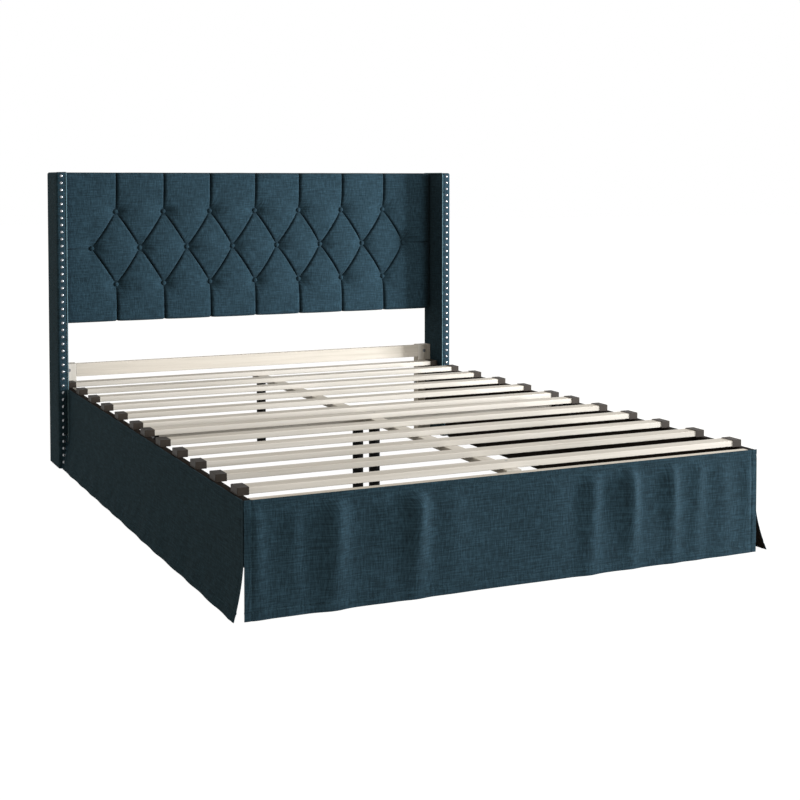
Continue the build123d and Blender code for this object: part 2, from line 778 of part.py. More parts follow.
# Rails
save_pair("side_rail_head_half", head_half_core())
save_pair("side_rail_foot_half", side_rail_core(rail_foot_y, middle_y, foot_slats))
save_pair("rail_cover_head_half",
          side_rail_cover(middle_y + soft_gap / 2, post_front_y - soft_gap, head_slats))
save_pair("rail_cover_foot_half", side_rail_cover(rail_foot_y, middle_y - soft_gap / 2, foot_slats))
save("foot_rail", foot_rail())
save("foot_rail_facing", foot_facing())
save("bed_bolts", *[piece for place in bed_bolts() for piece in both_sides(bolt(*place))])
save("barrel_nuts", *[piece for place in barrel_nuts() for piece in both_sides(barrel_nut(place))])
save("corner_brackets", *both_sides(corner_bracket()))
save("rail_joint_plates", *both_sides(joint_plate()))
fitting_places = [place for group in (*corner_bolts(), *joint_bolts()) for place in group]
save("fitting_bolts", *[piece for place in fitting_places for piece in both_sides(bolt(*place))])

# Slatted base
save("cross_beam", cross_beam())
save("centre_rail_head_half", centre_rail(middle_y, centre_rail_head_y))
save("centre_rail_foot_half", centre_rail(centre_rail_foot_y, middle_y))
save("centre_rail_bracket", rail_bracket())
for name, y in zip(("head", "middle_head_side", "middle_foot_side"), leg_places):
    save(f"centre_leg_{name}", centre_leg(y))
save("leg_glides", *[leg_glide(y) for y in leg_places])
bracket_up, bracket_into = rail_bracket_screws()
screw_places = slat_screws() + leg_screws() + bracket_up + bracket_into
save("wood_screws", *[screw(*place) for place in screw_places])
for number, y in enumerate(slat_places, start=1):
    save(f"slat_{number:02d}", slat(y))
caps = [slat_cap(y) for y in slat_places]
save("slat_caps_right", *caps)
save("slat_caps_left", *[mirror(cap, about=Plane.YZ) for cap in caps])

# Skirt
save_pair("skirt_side", side_skirt())
save("skirt_foot", foot_skirt())
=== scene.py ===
import json
import math

import bmesh
import bpy
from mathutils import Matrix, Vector


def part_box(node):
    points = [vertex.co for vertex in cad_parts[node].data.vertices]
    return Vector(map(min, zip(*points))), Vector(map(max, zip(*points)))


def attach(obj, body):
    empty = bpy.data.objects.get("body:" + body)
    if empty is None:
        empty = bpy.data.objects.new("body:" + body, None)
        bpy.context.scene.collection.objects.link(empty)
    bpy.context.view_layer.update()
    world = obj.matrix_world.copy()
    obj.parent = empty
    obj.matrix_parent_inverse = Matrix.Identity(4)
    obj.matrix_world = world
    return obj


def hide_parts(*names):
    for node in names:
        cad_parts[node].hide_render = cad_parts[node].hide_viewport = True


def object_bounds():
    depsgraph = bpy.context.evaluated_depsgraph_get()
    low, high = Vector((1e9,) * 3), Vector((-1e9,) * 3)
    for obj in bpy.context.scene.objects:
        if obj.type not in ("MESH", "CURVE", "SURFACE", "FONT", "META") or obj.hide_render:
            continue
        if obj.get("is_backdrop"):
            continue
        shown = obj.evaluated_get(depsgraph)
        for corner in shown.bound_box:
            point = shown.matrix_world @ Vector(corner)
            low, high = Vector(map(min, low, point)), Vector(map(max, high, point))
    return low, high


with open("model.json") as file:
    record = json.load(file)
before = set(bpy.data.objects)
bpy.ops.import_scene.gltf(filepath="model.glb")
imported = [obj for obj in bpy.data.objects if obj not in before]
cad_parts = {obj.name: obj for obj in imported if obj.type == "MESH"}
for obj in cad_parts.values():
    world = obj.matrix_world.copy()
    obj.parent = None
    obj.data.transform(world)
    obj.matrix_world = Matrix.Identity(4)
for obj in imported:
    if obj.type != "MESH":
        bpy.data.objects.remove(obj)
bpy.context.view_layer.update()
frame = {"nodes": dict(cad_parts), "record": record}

MM = 0.001


# Colours and nodes.
def colour(code):
    """Linear colour of an sRGB hex value."""
    parts = [int(code[i:i + 2], 16) / 255 for i in (1, 3, 5)]
    return (*[part / 12.92 if part <= 0.04045 else ((part + 0.055) / 1.055) ** 2.4 for part in parts], 1)


def add(tree, kind, inputs=None, **settings):
    """Adds a node; inputs maps its sockets to values or to other nodes' sockets."""
    made = tree.nodes.new(kind)
    for name, value in settings.items():
        setattr(made, name, value)
    for key, value in (inputs or {}).items():
        if isinstance(value, bpy.types.NodeSocket):
            tree.links.new(value, made.inputs[key])
        else:
            made.inputs[key].default_value = value
    return made


def new_material(name, finish):
    """Material with a principled shader; finish maps the shader's sockets to constants."""
    material = bpy.data.materials.new(name)
    material.use_nodes = True
    tree = material.node_tree
    shader = tree.nodes["Principled BSDF"]
    for socket, value in finish.items():
        shader.inputs[socket].default_value = value
    place = add(tree, "ShaderNodeTexCoord").outputs["Object"]
    return material, tree, shader, place


def ramp(tree, value, stops):
    """Colour ramp over a value; stops are places with a colour or a grey level each."""
    made = add(tree, "ShaderNodeValToRGB", {"Fac": value})
    band = made.color_ramp
    while len(band.elements) < len(stops):
        band.elements.new(0.5)
    for element, (at, shade) in zip(band.elements, stops):
        element.position = at
        element.color = shade if hasattr(shade, "__len__") else (shade, shade, shade, 1)
    return made.outputs["Color"]


def streaks(tree, place, lengths, detail=2.0, roughness=0.55):
    """Noise drawn out along each direction by a length in millimetres."""
    scale = tuple(1 / (length * MM) for length in lengths)
    spread = add(tree, "ShaderNodeMapping", {"Vector": place, "Scale": scale}, vector_type="POINT")
    made = add(tree, "ShaderNodeTexNoise", {"Vector": spread.outputs[0], "Scale": 1.0, "Detail": detail,
                                            "Roughness": roughness})
    return made.outputs["Fac"]


def raise_surface(tree, shader, height, distance, strength=1.0, under=None):
    """Bump from a height value, over an earlier bump if there is one."""
    inputs = {"Height": height, "Distance": distance * MM, "Strength": strength}
    if under is not None:
        inputs["Normal"] = under
    bump = add(tree, "ShaderNodeBump", inputs)
    tree.links.new(bump.outputs["Normal"], shader.inputs["Normal"])
    return bump.outputs["Normal"]


def linen_cloth(name, dark, middle, light):
    """Woven polyester with a linen look: uneven threads both ways, dull, with a faint bloom."""
    material, tree, shader, place = new_material(name, {
        "Roughness": 0.95, "Specular IOR Level": 0.03,
        "Sheen Weight": 0.1, "Sheen Roughness": 0.5, "Sheen Tint": colour("#8fa3aa")})
    # Each cloth stands upright and faces along x or y, so x + y runs along it and z runs up it.
    split = add(tree, "ShaderNodeSeparateXYZ", {0: place})
    across = add(tree, "ShaderNodeMath", {0: split.outputs["X"], 1: split.outputs["Y"]}, operation="ADD")
    flat = add(tree, "ShaderNodeCombineXYZ", {0: across.outputs[0], 1: split.outputs["Z"]}).outputs[0]
    # Threads of 0.8 mm are too fine for the picture, so their slubs are drawn 1 to 4 mm thick.
    weft = streaks(tree, flat, (52, 4.0, 1), detail=2.5, roughness=0.8)
    warp = streaks(tree, flat, (4.2, 36, 1), detail=2.5, roughness=0.8)
    patches = streaks(tree, flat, (120, 90, 1), detail=2)
    both = add(tree, "ShaderNodeMath", {0: weft, 1: warp}, operation="ADD")
    thread_share, patch_share = 0.46, 0.06
    mixed = add(tree, "ShaderNodeMath", {0: both.outputs[0], 1: thread_share}, operation="MULTIPLY")
    total = add(tree, "ShaderNodeMath", {0: patches, 1: patch_share, 2: mixed.outputs[0]},
                operation="MULTIPLY_ADD")
    shade = ramp(tree, total.outputs[0],
                 [(0.38, colour(dark)), (0.48, colour(middle)), (0.6, colour(light))])
    tree.links.new(shade, shader.inputs["Base Color"])
    fine_weft = streaks(tree, flat, (9, 1.1, 1), detail=2)
    fine_warp = streaks(tree, flat, (1.1, 9, 1), detail=2)
    weave = add(tree, "ShaderNodeMath", {0: fine_weft, 1: fine_warp}, operation="ADD")
    first = raise_surface(tree, shader, weave.outputs[0], 0.5, 0.55)
    raise_surface(tree, shader, both.outputs[0], 0.6, 0.35, first)
    return material


def lining_cloth(name, base):
    """Spun-bonded lining: matt black-brown fleece pressed with a fine dot grid."""
    material, tree, shader, place = new_material(name, {"Roughness": 0.95, "Specular IOR Level": 0.03})
    fibres = streaks(tree, place, (5, 5, 5), detail=5, roughness=0.7)
    shade = ramp(tree, fibres, [(0.3, colour(base)), (0.75, colour("#28221e"))])
    tree.links.new(shade, shader.inputs["Base Color"])
    # The press leaves a dot every 2 mm, drawn at 3 mm.
    dots = add(tree, "ShaderNodeTexVoronoi", {"Vector": place, "Scale": 1 / (3 * MM), "Randomness": 0.15})
    first = raise_surface(tree, shader, dots.outputs["Distance"], 0.3, 0.5)
    raise_surface(tree, shader, fibres, 0.5, 0.4, first)
    return material


def along(axis, length, *across):
    """Streak lengths in the order x, y, z: a length along one axis and two lengths across it."""
    lengths = list(across)
    lengths.insert("xyz".index(axis), length)
    return lengths


def planed_wood(name, axis, light, middle, dark):
    """Planed wood without varnish: straight fibres along one axis, soft growth bands, dull."""
    material, tree, shader, place = new_material(name, {"Roughness": 0.62, "Specular IOR Level": 0.35})
    grain = streaks(tree, place, along(axis, 260, 5.5, 5.5), detail=4, roughness=0.6)
    bands = streaks(tree, place, along(axis, 900, 38, 60), detail=2)
    pores = streaks(tree, place, along(axis, 22, 0.9, 0.9), detail=1)
    band_share, grain_share = 0.8, 0.45
    banded = add(tree, "ShaderNodeMath", {0: bands, 1: band_share}, operation="MULTIPLY")
    total = add(tree, "ShaderNodeMath", {0: grain, 1: grain_share, 2: banded.outputs[0]},
                operation="MULTIPLY_ADD")
    shade = ramp(tree, total.outputs[0],
                 [(0.42, colour(dark)), (0.6, colour(middle)), (0.78, colour(light))])
    tree.links.new(shade, shader.inputs["Base Color"])
    first = raise_surface(tree, shader, pores, 0.15, 0.35)
    raise_surface(tree, shader, grain, 0.3, 0.3, first)
    return material


def moulded_plastic(name, base, worn, roughness):
    """Moulded polypropylene: one even colour with a fine spark-eroded grain, half dull."""
    material, tree, shader, place = new_material(name, {
        "Roughness": roughness, "Specular IOR Level": 0.15})
    clouds = streaks(tree, place, (14, 14, 14), detail=3)
    shade = ramp(tree, clouds, [(0.35, colour(base)), (0.7, colour(worn))])
    tree.links.new(shade, shader.inputs["Base Color"])
    grit = streaks(tree, place, (0.7, 0.7, 0.7), detail=1)
    raise_surface(tree, shader, grit, 0.08, 0.5)
    return material


def powder_coated_steel(name, base):
    """Powder-coated steel tube and plate: one dull colour with a fine orange peel and some dust."""
    material, tree, shader, place = new_material(name, {
        "Base Color": colour(base), "Specular IOR Level": 0.08})
    peel = streaks(tree, place, (1.6, 1.6, 1.6), detail=1)
    dust = streaks(tree, place, (60, 60, 60), detail=4)
    tree.links.new(ramp(tree, dust, [(0.3, 0.52), (0.7, 0.68)]), shader.inputs["Roughness"])
    raise_surface(tree, shader, peel, 0.12, 0.4)
    return material


def plated_metal(name, base, low, high, grain):
    """Plated steel: bright metal whose roughness varies between low and high every few millimetres."""
    material, tree, shader, place = new_material(name, {"Base Color": colour(base), "Metallic": 1.0})
    rub = streaks(tree, place, (grain, grain, grain), detail=2)
    tree.links.new(ramp(tree, rub, [(0.3, low), (0.7, high)]), shader.inputs["Roughness"])
    raise_surface(tree, shader, rub, 0.05, 0.3)
    return material


def paint_rim_shade(material, crown, rim):
    """Domed heads keep the bright metal on their crowns and get painted shade toward their rims by the way
    they face: a painted reflection of dark surroundings and a painted contact shadow.
    """
    tree = material.node_tree
    facing = add(tree, "ShaderNodeVectorMath", {0: add(tree, "ShaderNodeNewGeometry").outputs["Normal"],
                                                1: (0, -1, 0)}, operation="DOT_PRODUCT")
    shade = ramp(tree, facing.outputs["Value"], [(0.72, colour(rim)), (0.93, colour(crown))])
    tree.links.new(shade, tree.nodes["Principled BSDF"].inputs["Base Color"])


def wood_set(kind, *shades):
    """One wood with its fibres along each of the three axes."""
    return {axis: planed_wood(f"planed_{kind}_along_{axis}", axis, *shades) for axis in "xyz"}


teal_linen = linen_cloth("teal_linen_look_polyester", "#18262e", "#20323c", "#2b414e")
thread = linen_cloth("teal_sewing_thread", "#22343b", "#2c4049", "#385059")
# The welt's cloth is a lighter copy of the teal linen: a painted highlight along the wings' inner front
# edges.
highlit_cord_linen = linen_cloth("teal_linen_cord_painted_highlight", "#3f5660", "#4c6570", "#5b7580")
black_lining = lining_cloth("black_spun_bonded_lining", "#151413")
poplar = wood_set("poplar", "#c4c1bb", "#bab7b0", "#ada9a1")
# The frame's spruce is darker than the slats' poplar partly as its own tone and partly as painted shade for
# the centre rail and frame seen in shade between the slats.
shade_darkened_softwood = wood_set("spruce", "#b39a75", "#9c8259", "#836b46")
pale_pine = planed_wood("planed_pine_along_x", "x", "#beb9b0", "#b4afa6", "#a5a096")
board = planed_wood("raw_plywood", "x", "#b79d78", "#a88d68", "#94794f")
cap_plastic = moulded_plastic("taupe_polypropylene", "#2a2520", "#312b26", 0.55)
glide_plastic = moulded_plastic("black_polyethylene", "#111111", "#1a1a1a", 0.5)
black_steel = powder_coated_steel("black_powder_coated_steel", "#0e0e0f")
zinc = plated_metal("zinc_plated_steel", "#77787a", 0.28, 0.45, 6)
nickel = plated_metal("polished_nickel", "#8f9295", 0.26, 0.34, 30)
# The nickel heads' rims carry painted shade and painted reflection, set by the way each spot faces.
paint_rim_shade(nickel, "#94979a", "#25282a")

finishes = {"teal_cloth": teal_linen, "lining_cloth": black_lining, "slat_wood": poplar,
            "frame_wood": shade_darkened_softwood, "panel_board": board, "cap_plastic": cap_plastic,
            "glide_plastic": glide_plastic, "black_steel": black_steel, "zinc_steel": zinc, "nickel": nickel}


def dress(piece, material):
    """Gives a piece one material."""
    piece.data.materials.clear()
    piece.data.materials.append(material)


for part in frame["record"]["subparts"]:
    node = frame["nodes"][part["node"]]
    material = finishes[part["material_slot"]]
    if isinstance(material, dict):
        # A wooden piece's fibres run along its longest side.
        low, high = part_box(part["node"])
        spans = [high[i] - low[i] for i in range(3)]
        material = material["xyz"[spans.index(max(spans))]]
    dress(node, pale_pine if part["node"] in ("foot_rail", "head_crossbar") else material)


# Shaping.
def clear_selection():
    """Leaves object mode with nothing selected."""
    if bpy.context.object and bpy.context.object.mode != "OBJECT":
        bpy.ops.object.mode_set(mode="OBJECT")
    bpy.ops.object.select_all(action="DESELECT")


def pick(piece):
    """Makes a piece the only selected one."""
    clear_selection()
    piece.select_set(True)
    bpy.context.view_layer.objects.active = piece


def finish_modifiers(piece):
    """Applies all modifiers in turn."""
    pick(piece)
    for name in [modifier.name for modifier in piece.modifiers]:
        bpy.ops.object.modifier_apply(modifier=name)


def settle(piece, angle=50):
    """Applies the piece's place and shades it smooth except at its corners."""
    pick(piece)
    bpy.ops.object.transform_apply(location=True, rotation=True, scale=True)
    bpy.ops.object.shade_smooth_by_angle(angle=math.radians(angle))


def outward(piece):
    """Merges doubles and turns the faces outwards."""
    pick(piece)
    bpy.ops.object.mode_set(mode="EDIT")
    bpy.ops.mesh.select_all(action="SELECT")
    bpy.ops.mesh.remove_doubles(threshold=0.00001)
    bpy.ops.mesh.normals_make_consistent(inside=False)
    bpy.ops.object.mode_set(mode="OBJECT")


def stands_for(piece, body_slot, *nodes):
    """The piece rides with the bed and takes the place of the named nodes."""
    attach(piece, "root")
    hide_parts(*nodes)


def grid_piece(name, columns, rows, place):
    """Open surface over two lists of distances, with its own UV map in metres."""
    mesh = bpy.data.meshes.new(name)
    points = [place(u, v) for v in rows for u in columns]
    wide = len(columns)
    faces = [(j * wide + i, j * wide + i + 1, (j + 1) * wide + i + 1, (j + 1) * wide + i)
             for j in range(len(rows) - 1) for i in range(wide - 1)]
    mesh.from_pydata(points, [], faces)
    layer = mesh.uv_layers.new(name="UVMap")
    spots = [(u, v) for v in rows for u in columns]
    for loop in mesh.loops:
        layer.data[loop.index].uv = spots[loop.vertex_index]
    piece = bpy.data.objects.new(name, mesh)
    bpy.context.scene.collection.objects.link(piece)
    return piece


def smooth_step(value):
    """Eased 0 to 1."""
    value = min(max(value, 0.0), 1.0)
    return value * value * (3 - 2 * value)


def bell(value, centre, width):
    """Rounded hump of height 1."""
    return math.exp(-((value - centre) / width) ** 2)


def marks(length, step, *close):
    """Distances along a length: even steps, with extra ones kept at the named places."""
    count = max(1, round(length / step))
    even = [length * i / count for i in range(count + 1)]
    kept = [value for value in even if all(abs(value - other) > step * 0.4 for other in close)]
    return sorted(set(kept) | set(close) | {0.0, length})


# Tufted pad. Its front lies at the valley in the pleats and at the crown where it is full.
pad_low, pad_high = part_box("tufted_pad")
half_pad = (pad_high[0] - pad_low[0]) / 2
cushion_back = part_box("headboard_plywood")[0][1] - 0.3 * MM
valley = cushion_back - 14 * MM
crown = valley - 29 * MM
wrap_back = pad_high[1]
pad_roll = 14 * MM              # radius of the top and bottom edges
pleat_draw = 18 * MM            # cloth within this distance is drawn into a pleat
button_radius = 9 * MM
# Buttons: rows from the top down, 7, 8 and 7 to a row, the middle row half a pitch out of step.
row_z = (955 * MM, 814.5 * MM, 674 * MM)
pitch = 188 * MM
middle_x = [(i - 3.5) * pitch for i in range(8)]
outer_x = [(i - 3) * pitch for i in range(7)]
buttons = [(x, z) for xs, z in zip((outer_x, middle_x, outer_x), row_z) for x in xs]

# Pleats, each from one end to the other: the diamonds' sides, the straight ones that run over the
# top and bottom edges, and the two that run out to the wings.
pleats = []
beyond = 60 * MM
for x in outer_x:
    for near in (x - pitch / 2, x + pitch / 2):
        pleats.append((x, row_z[0], near, row_z[1]))
        pleats.append((x, row_z[2], near, row_z[1]))
    pleats.append((x, row_z[0], x, pad_high[2] + beyond))
    pleats.append((x, row_z[2], x, pad_low[2] - beyond))
for side in (-1, 1):
    pleats.append((side * middle_x[-1], row_z[1], side * (half_pad + 1), row_z[1]))


def nearest_pleat(x, z):
    """Distance to the nearest pleat and the nearest point on it."""
    best = (math.inf, x, z)
    for ax, az, bx, bz in pleats:
        dx, dz = bx - ax, bz - az
        t = min(max(((x - ax) * dx + (z - az) * dz) / (dx * dx + dz * dz), 0.0), 1.0)
        near_x, near_z = ax + t * dx, az + t * dz
        best = min(best, (math.hypot(x - near_x, z - near_z), near_x, near_z))
    return best


def puffed(x, z, gap, tuft, near_side):
    """Share of the full puff: deep at the buttons, grooved along the pleats, lower at the wings."""
    dimple_floor, dimple_reach = 10 * MM, 23 * MM
    body = 1 - math.exp(-max(0.0, tuft - dimple_floor) / dimple_reach)
    # A pleat is a narrow crease in a wide, shallow hollow; the two at the wings are fainter.
    groove = 0.52 * math.exp(-gap / (3.1 * MM)) + 0.16 * math.exp(-gap / (24 * MM))
    groove *= 1 - 0.6 * smooth_step((abs(x) - middle_x[-1]) / (16 * MM))
    # Stuffing is never quite even.
    drift = 0.03 * math.sin(x / MM / 71 + 2.0) * math.sin(z / MM / 53)
    side_roll = 42 * MM
    roll_off = math.sqrt(max(0.0, 1 - (1 - min(near_side / side_roll, 1)) ** 2))
    return body * (1 - groove + drift) * (0.12 + 0.88 * roll_off)


def wrapped_rows(sign, edge, first):
    """Rows that roll over the top or bottom edge and run to the back.

    Each row has its number, the height that stands for it in the pattern of pleats, and the y and z
    of its deepest and its fullest cloth.
    """
    rows = []
    small, notch = 5 * MM, 6 * MM       # a pleat's own edge radius, and how far it nicks the edge
    turns, flats, step = 4, 3, 6 * MM
    for k in range(1, turns + 1):
        turn = math.radians(90 * k / turns)
        out, up = 1 - math.cos(turn), 1 - math.sin(turn)
        deep = (valley + small * out, edge - sign * (notch + small * up))
        full = (crown + pad_roll * out, edge - sign * pad_roll * up)
        rows.append((first + sign * k, edge + sign * k * step, deep, full))
    start = crown + pad_roll
    for k in range(1, flats + 1):
        y = start + (wrap_back - start) * k / flats
        rows.append((first + sign * (turns + k), edge + sign * (turns + k) * step,
                     (max(y, valley + small), edge - sign * notch), (y, edge)))
    return rows


fine = 24                       # net rows between two rows of buttons
tufted, margin = 7 * fine, 32   # net columns from the middle to the last button, and on to the wing
last_column = tufted + margin


def net_rows():
    """All rows of the pad's net from the bottom's back over the front to the top's back."""
    rows = []
    for number in range(-2 * fine, 2 * fine + 2):
        if number < -fine:
            z = row_z[2] + (number + fine) * (row_z[2] - pad_low[2] - pad_roll) / fine
        elif number > fine:
            z = row_z[0] + (number - fine) * (pad_high[2] - pad_roll - row_z[0]) / (fine + 1)
        else:
            z = row_z[1] + number * (row_z[0] - row_z[1]) / fine
        rows.append((number, z, (valley, z), (crown, z)))
    below = wrapped_rows(-1, pad_low[2], rows[0][0])
    return below[::-1] + rows + wrapped_rows(1, pad_high[2], rows[-1][0])


def net_point(x, spot_z, deep, full, outermost):
    """Place of a net point, and whether it lies in a pleat or under a button."""
    gap, near_x, near_z = nearest_pleat(x, spot_z)
    tuft = min(math.hypot(x - bx, spot_z - bz) for bx, bz in buttons)
    rise = puffed(x, spot_z, gap, tuft, half_pad - abs(x))
    in_pleat = gap < 1e-5
    pull = 0.0
    if not in_pleat and gap < pleat_draw and not outermost:
        pull = 1 - (gap / pleat_draw) ** 0.8
    y = deep[0] + (full[0] - deep[0]) * rise
    z = deep[1] + (full[1] - deep[1]) * rise
    on_front = pad_low[2] + pad_roll < spot_z < pad_high[2] - pad_roll
    if on_front and abs(spot_z - z) < pad_roll:
        z += (near_z - spot_z) * pull
    return Vector((x + (near_x - x) * pull, y, z)), in_pleat or tuft < 7 * MM


def net_faces(rows):
    """Triangles between neighbouring rows, each a list of column numbers and one of points."""
    faces = []
    for (low_columns, low_row), (high_columns, high_row) in zip(rows, rows[1:]):
        i = j = 0
        while i < len(low_row) - 1 or j < len(high_row) - 1:
            next_low = low_columns[i + 1] if i < len(low_row) - 1 else math.inf
            next_high = high_columns[j + 1] if j < len(high_row) - 1 else math.inf
            if next_low <= next_high:
                faces.append((low_row[i], low_row[i + 1], high_row[j]))
                i += 1
            else:
                faces.append((low_row[i], high_row[j + 1], high_row[j]))
                j += 1
    return faces


def tufted_sheet():
    """Front cloth of the pad as a net of triangles whose lines follow the pleats."""
    unit = pitch / 2 / fine
    reach = [a * unit if a <= tufted else tufted * unit + (a - tufted) * (half_pad - tufted * unit) / margin
             for a in range(last_column + 1)]
    points, rows, seams = [], [], set()
    for number, spot_z, deep, full in net_rows():
        # Between the buttons' rows the columns step sideways, so that edges run along the diamonds.
        shift = number if abs(number) <= fine else 0
        columns = [a for a in range(-last_column, last_column + 1)
                   if (a + shift) % 2 == 0 or abs(a) == last_column]
        row = []
        for a in columns:
            x = math.copysign(reach[abs(a)], a)
            point, creased = net_point(x, spot_z, deep, full, abs(a) == last_column)
            if creased:
                seams.add(len(points))
            row.append(len(points))
            points.append(point)
        rows.append((columns, row))
    mesh = bpy.data.meshes.new("headboard_cushion")
    mesh.from_pydata(points, [], net_faces(rows))
    sharp = mesh.attributes.new("crease_edge", "FLOAT", "EDGE")
    for edge in mesh.edges:
        if edge.vertices[0] in seams and edge.vertices[1] in seams:
            sharp.data[edge.index].value = 1.0
    piece = bpy.data.objects.new("headboard_cushion", mesh)
    bpy.context.scene.collection.objects.link(piece)
    return piece


def close_back(piece, inset, depth):
    """Turns the open edge inwards by an inset, runs it to a depth in y and closes the back."""
    pick(piece)
    bpy.ops.object.mode_set(mode="EDIT")
    net = bmesh.from_edit_mesh(piece.data)
    rim = [edge for edge in net.edges if edge.is_boundary]
    ring = bmesh.ops.extrude_edge_only(net, edges=rim)["geom"]
    points = [item for item in ring if isinstance(item, bmesh.types.BMVert)]
    centre_z = (pad_low[2] + pad_high[2]) / 2
    for point in points:
        if abs(point.co.x) > half_pad - 1 * MM:
            point.co.x -= math.copysign(inset, point.co.x)
        else:
            point.co.z -= math.copysign(inset, point.co.z - centre_z)
    rim = [item for item in ring if isinstance(item, bmesh.types.BMEdge)]
    ring = bmesh.ops.extrude_edge_only(net, edges=rim)["geom"]
    for point in ring:
        if isinstance(point, bmesh.types.BMVert):
            point.co.y = depth
    rim = [edge for edge in net.edges if edge.is_boundary]
    ring = bmesh.ops.extrude_edge_only(net, edges=rim)["geom"]
    points = [item for item in ring if isinstance(item, bmesh.types.BMVert)]
    bmesh.ops.pointmerge(net, verts=points, merge_co=(0, depth, centre_z))
    bmesh.update_edit_mesh(piece.data)
    bpy.ops.object.mode_set(mode="OBJECT")


pad = tufted_sheet()
pad.modifiers.new("round", "SUBSURF").levels = 1
pad.modifiers["round"].render_levels = 1
finish_modifiers(pad)
close_back(pad, 3 * MM, cushion_back)
outward(pad)
settle(pad, 80)
dress(pad, teal_linen)
stands_for(pad, "teal_cloth", "tufted_pad")


def covered_button(number, x, z):
    """Metal button shell with cloth drawn round it, a little puckered at its rim."""
    bpy.ops.mesh.primitive_uv_sphere_add(segments=24, ring_count=12, radius=button_radius,
                                         location=(x, valley - 4 * MM, z),
                                         rotation=(math.radians(90), 0, 0), scale=(1, 1, 0.78))
    piece = bpy.context.object
    piece.name = piece.data.name = f"tuft_button_{number:02d}"
    settle(piece, 80)
    for vertex in piece.data.vertices:
        turn = math.atan2(vertex.co.z - z, vertex.co.x - x)
        reach = math.hypot(vertex.co.z - z, vertex.co.x - x) / button_radius
        vertex.co.y -= 0.35 * MM * reach ** 2 * math.sin(9 * turn + number)
    dress(piece, teal_linen)
    return piece


clear_selection()
button_pieces = [covered_button(number, x, z) for number, (x, z) in enumerate(buttons, start=1)]
clear_selection()
for piece in button_pieces:
    piece.select_set(True)
bpy.context.view_layer.objects.active = button_pieces[0]
bpy.ops.object.join()
button_set = bpy.context.object
button_set.name = button_set.data.name = "tuft_buttons_covered"
stands_for(button_set, "teal_cloth", "tuft_buttons")


# Padded boards.
cloth_thickness = 1.6 * MM


def padded_block(name, low, high, rounding, crown_height, open_side, cuts):
    """Cloth drawn over thin foam: a box with eased edges, slightly crowned, open on one side.

    open_side is an axis and 0 for its low or 1 for its high end. cuts are the mesh's steps along the
    three axes.
    """
    centre = [(a + b) / 2 for a, b in zip(low, high)]
    size = [b - a for a, b in zip(low, high)]
    clear_selection()
    bpy.ops.mesh.primitive_cube_add(size=1, location=centre, scale=size)
    piece = bpy.context.object
    piece.name = piece.data.name = name
    bpy.ops.object.transform_apply(location=True, rotation=True, scale=True)
    bpy.ops.object.mode_set(mode="EDIT")
    for axis, step in enumerate(cuts):
        count = int(size[axis] / step)
        for i in range(1, count):
            spot = list(centre)
            spot[axis] = low[axis] + size[axis] * i / count
            normal = [0, 0, 0]
            normal[axis] = 1
            bpy.ops.mesh.select_all(action="SELECT")
            bpy.ops.mesh.bisect(plane_co=spot, plane_no=normal)
    bpy.ops.mesh.select_all(action="DESELECT")
    net = bmesh.from_edit_mesh(piece.data)
    axis, end = open_side
    limit = (low, high)[end][axis]
    opened = [face for face in net.faces if all(abs(v.co[axis] - limit) < 1e-6 for v in face.verts)]
    bmesh.ops.delete(net, geom=opened, context="FACES")
    for edge in net.edges:
        edge.select_set(edge.is_manifold and edge.calc_face_angle(0) > 1)
    bmesh.update_edit_mesh(piece.data)
    bpy.ops.mesh.bevel(offset=rounding, segments=4, profile=0.5)
    bpy.ops.object.mode_set(mode="OBJECT")
    swell_reach = 26 * MM
    for vertex in piece.data.vertices:
        swell = 1.0
        for k in range(3):
            if k == axis:
                continue
            reach = abs(vertex.co[k] - centre[k]) / (size[k] / 2)
            if reach < 0.999:
                swell = min(swell, smooth_step((1 - reach) * size[k] / 2 / swell_reach))
        for k in range(3):
            if abs(abs(vertex.co[k] - centre[k]) - size[k] / 2) < 1e-5 and k != axis:
                vertex.co[k] += math.copysign(crown_height * swell, vertex.co[k] - centre[k])
    outward(piece)
    thick = piece.modifiers.new("thick", "SOLIDIFY")
    thick.thickness = cloth_thickness
    thick.offset = -1
    finish_modifiers(piece)
    settle(piece, 40)
    dress(piece, teal_linen)
    return piece


def welt(name, points):
    """Cloth-covered cord of 5 mm along a line of points."""
    path = bpy.data.curves.new(name, "CURVE")
    path.dimensions = "3D"
    path.bevel_depth = 2.5 * MM
    path.bevel_resolution = 3
    path.use_fill_caps = True
    line = path.splines.new("POLY")
    line.points.add(len(points) - 1)
    for spot, point in zip(line.points, points):
        spot.co = (*point, 1)
    piece = bpy.data.objects.new(name, path)
    bpy.context.scene.collection.objects.link(piece)
    pick(piece)
    bpy.ops.object.convert(target="MESH")
    piece = bpy.context.object
    piece.name = piece.data.name = name
    outward(piece)
    settle(piece, 60)
    # Its lighter cloth is a painted highlight.
    dress(piece, highlit_cord_linen)
    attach(piece, "root")
    return piece


def wing_line(low, high, inner):
    """Line of a wing's welt: up its inner front edge, round the corner and back over its top."""
    x = inner - math.copysign(1.6 * MM, inner)
    front = low[1] + 1.4 * MM
    bend = 9 * MM
    corner_z = high[2] - 10 * MM
    corner = [(x, front + bend * (1 - math.cos(t)), corner_z + bend * math.sin(t))
              for t in (math.radians(15 * k) for k in range(1, 6))]
    top_z = high[2] - 1 * MM
    return ([(x, front, low[2] + 3 * MM), (x, front, corner_z)] + corner
            + [(x, front + bend, top_z), (x, high[1] - 8 * MM, top_z)])


